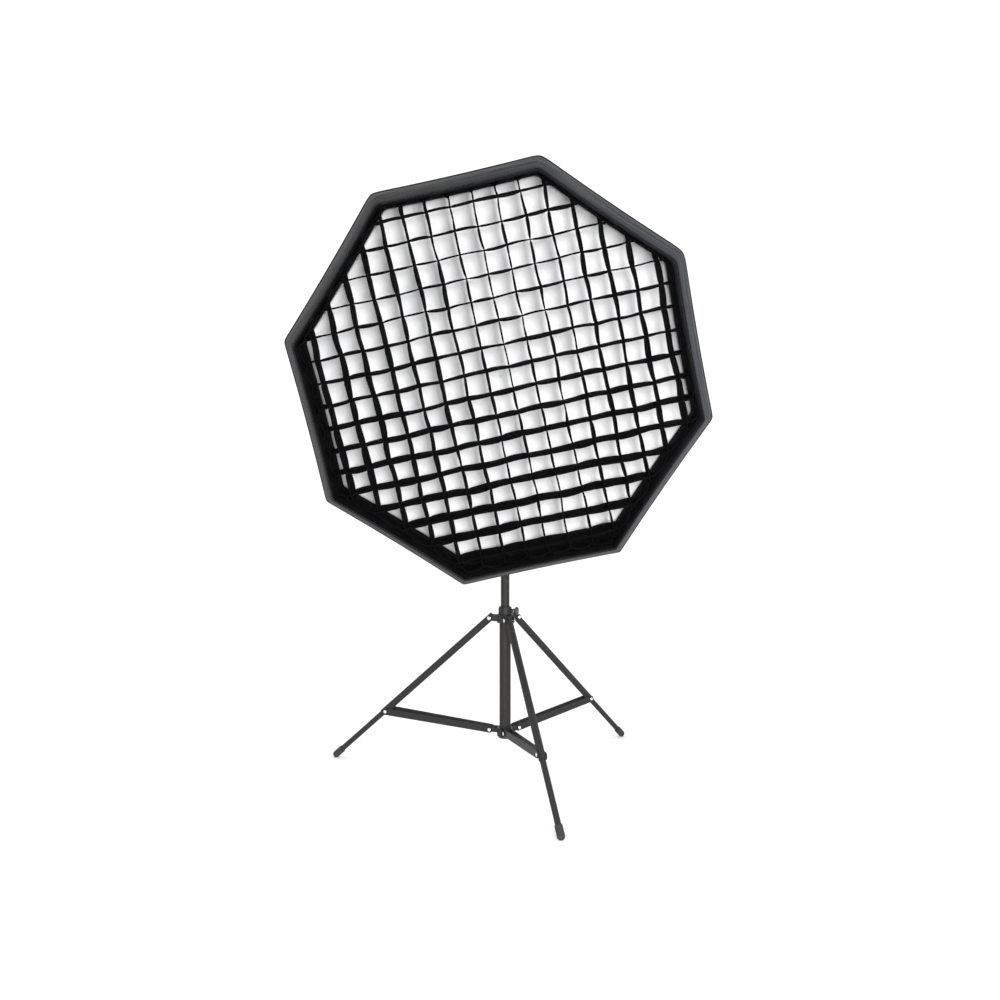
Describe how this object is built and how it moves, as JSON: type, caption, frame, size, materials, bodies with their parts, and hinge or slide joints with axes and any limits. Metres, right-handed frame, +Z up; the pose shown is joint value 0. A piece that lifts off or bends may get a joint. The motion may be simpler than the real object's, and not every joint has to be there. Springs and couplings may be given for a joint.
{
  "type": "studio softbox on light stand",
  "caption": "Octagonal softbox with an egg-crate grid and a recessed diffuser on a tilting lamp head, held by a folding three-leg telescopic light stand.",
  "frame": {"origin": "on the floor, under the middle of the bounding box", "axes": "+Z up; the softbox faces -Y; +X to the right seen from the front"},
  "size_m": [0.9658, 0.8836, 1.4909],
  "materials": {
    "tube": "satin",
    "casting": "satin",
    "bar": "satin",
    "zinc": "polished",
    "rubber": "matte",
    "knob": "satin",
    "housing": "satin",
    "cover": "matte",
    "switch": "satin",
    "nylon": "satin",
    "socket": "satin",
    "brass": "satin",
    "glass": "satin",
    "ring": "satin",
    "rod": "satin",
    "canopy_fabric": "matte",
    "lip_fabric": "matte",
    "wall_fabric": "matte",
    "grid_fabric": "matte",
    "diffuser_fabric": "matte",
    "baffle_fabric": "matte"
  },
  "bodies": {
    "column": {"lower_tube": "tube", "tube_plug": "knob", "leg_spider": "casting", "lower_collar": "casting", "spider_pin_front": "zinc", "spider_pin_right": "zinc", "spider_pin_left": "zinc"},
    "lower_knob": {"lower_knob": "knob"},
    "hub": {"brace_hub": "casting"},
    "mid_section": {"mid_tube": "tube", "mid_bush": "nylon", "mid_collar": "casting"},
    "mid_knob": {"mid_knob": "knob"},
    "top_section": {"top_tube": "tube", "top_bush": "nylon", "spigot": "zinc"},
    "swivel": {"receiver": "casting", "tilt_bolt": "zinc"},
    "receiver_screw": {"receiver_screw": "knob"},
    "tilt_lever": {"tilt_lever": "knob"},
    "lamp_head": {"tilt_lug": "casting", "lamp_housing": "housing", "rear_cover": "cover", "power_inlet": "cover", "lamp_socket": "socket", "bulb_base": "brass", "bulb_glass": "glass", "adapter_ring": "casting"},
    "rocker_switch": {"rocker_switch": "switch"},
    "ring_knob": {"ring_knob": "knob"},
    "softbox": {"speedring": "ring", "rod_1": "rod", "rod_2": "rod", "rod_3": "rod", "rod_4": "rod", "rod_5": "rod", "rod_6": "rod", "rod_7": "rod", "rod_8": "rod", "canopy": "canopy_fabric", "front_lip": "lip_fabric", "recess_wall": "wall_fabric", "inner_baffle": "baffle_fabric", "front_diffuser": "diffuser_fabric", "egg_crate_grid": "grid_fabric"},
    "leg_front": {"leg_tube_front": "tube", "leg_tip_front": "tube", "foot_cap_front": "rubber"},
    "brace_front": {"brace_bar_front_a": "bar", "brace_bar_front_b": "bar"},
    "leg_right": {"leg_tube_right": "tube", "leg_tip_right": "tube", "foot_cap_right": "rubber"},
    "brace_right": {"brace_bar_right_a": "bar", "brace_bar_right_b": "bar"},
    "leg_left": {"leg_tube_left": "tube", "leg_tip_left": "tube", "foot_cap_left": "rubber"},
    "brace_left": {"brace_bar_left_a": "bar", "brace_bar_left_b": "bar"}
  },
  "joints": [
    {"name": "leg_front_fold", "type": "hinge", "parent": "column", "child": "leg_front", "pos_m": [0.02306, 0.04978, 0.4143], "axis": [0.9694, 0.2453, 0], "range_deg": [0, 48.03]},
    {"name": "leg_right_fold", "type": "hinge", "parent": "column", "child": "leg_right", "pos_m": [0.04239, 0.11811, 0.4143], "axis": [-0.6972, 0.7169, 0], "range_deg": [0, 48.04]},
    {"name": "leg_left_fold", "type": "hinge", "parent": "column", "child": "leg_left", "pos_m": [-0.02645, 0.10069, 0.4143], "axis": [-0.2723, -0.9622, 0], "range_deg": [0, 48.04]},
    {"name": "hub_slide", "type": "slide", "parent": "column", "child": "hub", "axis": [0, 0, 1], "range_m": [0, 0.19812]},
    {"name": "brace_front_fold", "type": "hinge", "parent": "hub", "child": "brace_front", "pos_m": [0.02281, 0.05075, 0.115], "axis": [0.9694, 0.2453, 0], "range_deg": [0, 95.36]},
    {"name": "brace_right_fold", "type": "hinge", "parent": "hub", "child": "brace_right", "pos_m": [0.04168, 0.11742, 0.115], "axis": [-0.6972, 0.7169, 0], "range_deg": [0, 95.36]},
    {"name": "brace_left_fold", "type": "hinge", "parent": "hub", "child": "brace_left", "pos_m": [-0.02549, 0.10042, 0.115], "axis": [-0.2723, -0.9622, 0], "range_deg": [0, 95.36]},
    {"name": "lower_knob_turn", "type": "hinge", "parent": "column", "child": "lower_knob", "pos_m": [0.013, 0.08953, 0.4343], "axis": [0.9781, -0.2079, 0], "range_deg": [-540, 0]},
    {"name": "mid_slide", "type": "slide", "parent": "column", "child": "mid_section", "axis": [0, 0, 1], "range_m": [-0.12, 0.04]},
    {"name": "mid_knob_turn", "type": "hinge", "parent": "mid_section", "child": "mid_knob", "pos_m": [0.013, 0.08953, 0.67385], "axis": [-0.866, 0.5, 0], "range_deg": [-540, 0]},
    {"name": "top_slide", "type": "slide", "parent": "mid_section", "child": "top_section", "axis": [0, 0, 1], "range_m": [-0.12, 0.03]},
    {"name": "pan", "type": "hinge", "parent": "top_section", "child": "swivel", "pos_m": [0.013, 0.08953, 1.0095], "axis": [0, 0, 1], "continuous": true},
    {"name": "receiver_screw_turn", "type": "hinge", "parent": "swivel", "child": "receiver_screw", "pos_m": [0.013, 0.08953, 0.9563], "axis": [0, 1, 0], "range_deg": [-540, 0]},
    {"name": "tilt", "type": "hinge", "parent": "swivel", "child": "lamp_head", "pos_m": [0.013, 0.08953, 1.0095], "axis": [1, 0, 0], "range_deg": [-60, 12]},
    {"name": "tilt_lever_turn", "type": "hinge", "parent": "swivel", "child": "tilt_lever", "pos_m": [0.013, 0.08953, 1.0095], "axis": [1, 0, 0], "range_deg": [-15, 25]},
    {"name": "roll", "type": "hinge", "parent": "lamp_head", "child": "softbox", "pos_m": [0, 0.03587, 1.07769], "axis": [0, -0.9825, -0.1865], "continuous": true},
    {"name": "ring_knob_turn", "type": "hinge", "parent": "lamp_head", "child": "ring_knob", "pos_m": [0, 0.04569, 1.07955], "axis": [-0.7071, -0.1319, 0.6947], "range_deg": [-540, 0]},
    {"name": "rocker_press", "type": "hinge", "parent": "lamp_head", "child": "rocker_switch", "pos_m": [-0.023, 0.19483, 1.10787], "axis": [1, 0, 0], "range_deg": [0, 16]}
  ],
  "couplings": [
    {"joint": "leg_right_fold", "follows": "leg_front_fold", "ratio": 1},
    {"joint": "leg_left_fold", "follows": "leg_front_fold", "ratio": 1},
    {"joint": "hub_slide", "follows": "leg_front_fold", "m_per_rad": 0.23631},
    {"joint": "brace_front_fold", "follows": "leg_front_fold", "ratio": 1.985},
    {"joint": "brace_right_fold", "follows": "leg_front_fold", "ratio": 1.985},
    {"joint": "brace_left_fold", "follows": "leg_front_fold", "ratio": 1.985}
  ]
}
